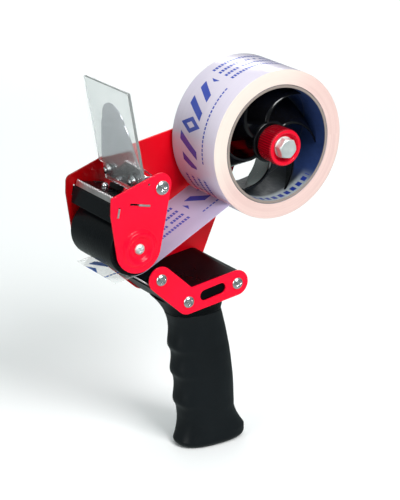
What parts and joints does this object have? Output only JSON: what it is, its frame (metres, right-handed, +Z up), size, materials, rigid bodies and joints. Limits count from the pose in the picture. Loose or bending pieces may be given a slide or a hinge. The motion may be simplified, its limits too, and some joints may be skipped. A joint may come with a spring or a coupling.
{
  "type": "packing tape dispenser",
  "caption": "Pistol-grip packing tape dispenser with a braked spool, a rubber roller, serrated blades and a sprung clear flap, loaded with a roll of tape.",
  "frame": {"origin": "middle of the grip's flat base", "axes": "+Z up along the grip, +X forward to the blades, +Y to the operator's left, the side with the tension knob"},
  "size_m": [0.1796, 0.0749, 0.2618],
  "materials": {
    "main_plate_paint": "gloss red paint on steel sheet",
    "plate_paint": "gloss red paint on steel sheet",
    "grip_plastic": "matt black",
    "head_plastic": "gloss black",
    "carrier_paint": "black paint on steel sheet",
    "blade_steel": "ground steel strip",
    "rivet_chrome": "bright plated",
    "screw_chrome": "bright plated",
    "stop_rubber": "matt black",
    "flap_clear": "clear sheet with a slight green tint",
    "tongue_chrome": "mirror bright sheet",
    "spring_steel": "plated spring wire",
    "roller_rubber": "matt black",
    "roller_plastic": "black moulding",
    "bush_nylon": "natural nylon",
    "axle_zinc": "zinc plated",
    "hub_plastic": "gloss black",
    "core_card": "wound card tube",
    "tape_film": "wound adhesive film",
    "brake_fibre": "pressed fibre",
    "fastener_zinc": "zinc plated",
    "knob_plastic": "gloss red",
    "strip_film": "thin translucent film"
  },
  "bodies": {
    "frame": {"main_side_plate": "main_plate_paint", "front_side_plate": "plate_paint", "handle_side_plate": "plate_paint", "handle_rivet_front": "rivet_chrome", "handle_rivet_lower": "rivet_chrome", "handle_rivet_rear": "rivet_chrome", "grip_core": "head_plastic", "grip_sleeve": "grip_plastic", "lower_blade": "blade_steel", "blade_carrier": "carrier_paint", "upper_blade": "blade_steel", "carrier_screw_left": "screw_chrome", "carrier_screw_right": "screw_chrome", "flap_stop_block": "stop_rubber", "roller_axle": "axle_zinc", "flap_axle": "rivet_chrome", "flap_return_spring": "spring_steel", "spindle_nut": "fastener_zinc", "brake_disc": "brake_fibre", "tape_strip": "strip_film"},
    "spool": {"hub": "hub_plastic", "tape_core": "core_card", "tape_roll": "tape_film", "brake_spring": "spring_steel"},
    "roller": {"roller_sleeve": "roller_rubber", "roller_core": "roller_plastic", "roller_bush_left": "bush_nylon", "roller_bush_right": "bush_nylon"},
    "flap": {"flap_plate": "flap_clear", "flap_tongue": "tongue_chrome", "flap_screw_left": "screw_chrome", "flap_screw_right": "screw_chrome", "flap_spring_left": "spring_steel", "flap_spring_right": "spring_steel"},
    "thrust_stack": {"thrust_washer": "fastener_zinc"},
    "tension_adjuster": {"tension_knob": "knob_plastic", "knob_washer": "fastener_zinc", "spindle_bolt": "fastener_zinc"}
  },
  "joints": [
    {"name": "spool_spin", "type": "hinge", "parent": "frame", "child": "spool", "pos_m": [-0.038, 0, 0.2095], "axis": [0, 1, 0], "continuous": true},
    {"name": "roller_spin", "type": "hinge", "parent": "frame", "child": "roller", "pos_m": [0.0713, 0, 0.15999], "axis": [0, 1, 0], "continuous": true},
    {"name": "flap_hinge", "type": "hinge", "parent": "frame", "child": "flap", "pos_m": [0.054, 0, 0.19759], "axis": [0, -1, 0], "range_deg": [0, 45], "stiffness_Nm_per_rad": 0.05, "springref_deg": -28.65, "deforming": ["flap_return_spring"]},
    {"name": "adjuster_advance", "type": "slide", "parent": "frame", "child": "thrust_stack", "axis": [0, 1, 0], "range_m": [-0.00125, 0.00125], "deforming": ["brake_spring"]},
    {"name": "knob_turn", "type": "hinge", "parent": "thrust_stack", "child": "tension_adjuster", "pos_m": [-0.038, 0, 0.2095], "axis": [0, 1, 0], "range_deg": [-378, 378]}
  ],
  "couplings": [
    {"joint": "knob_turn", "follows": "adjuster_advance", "rad_per_m": 5026.5}
  ]
}
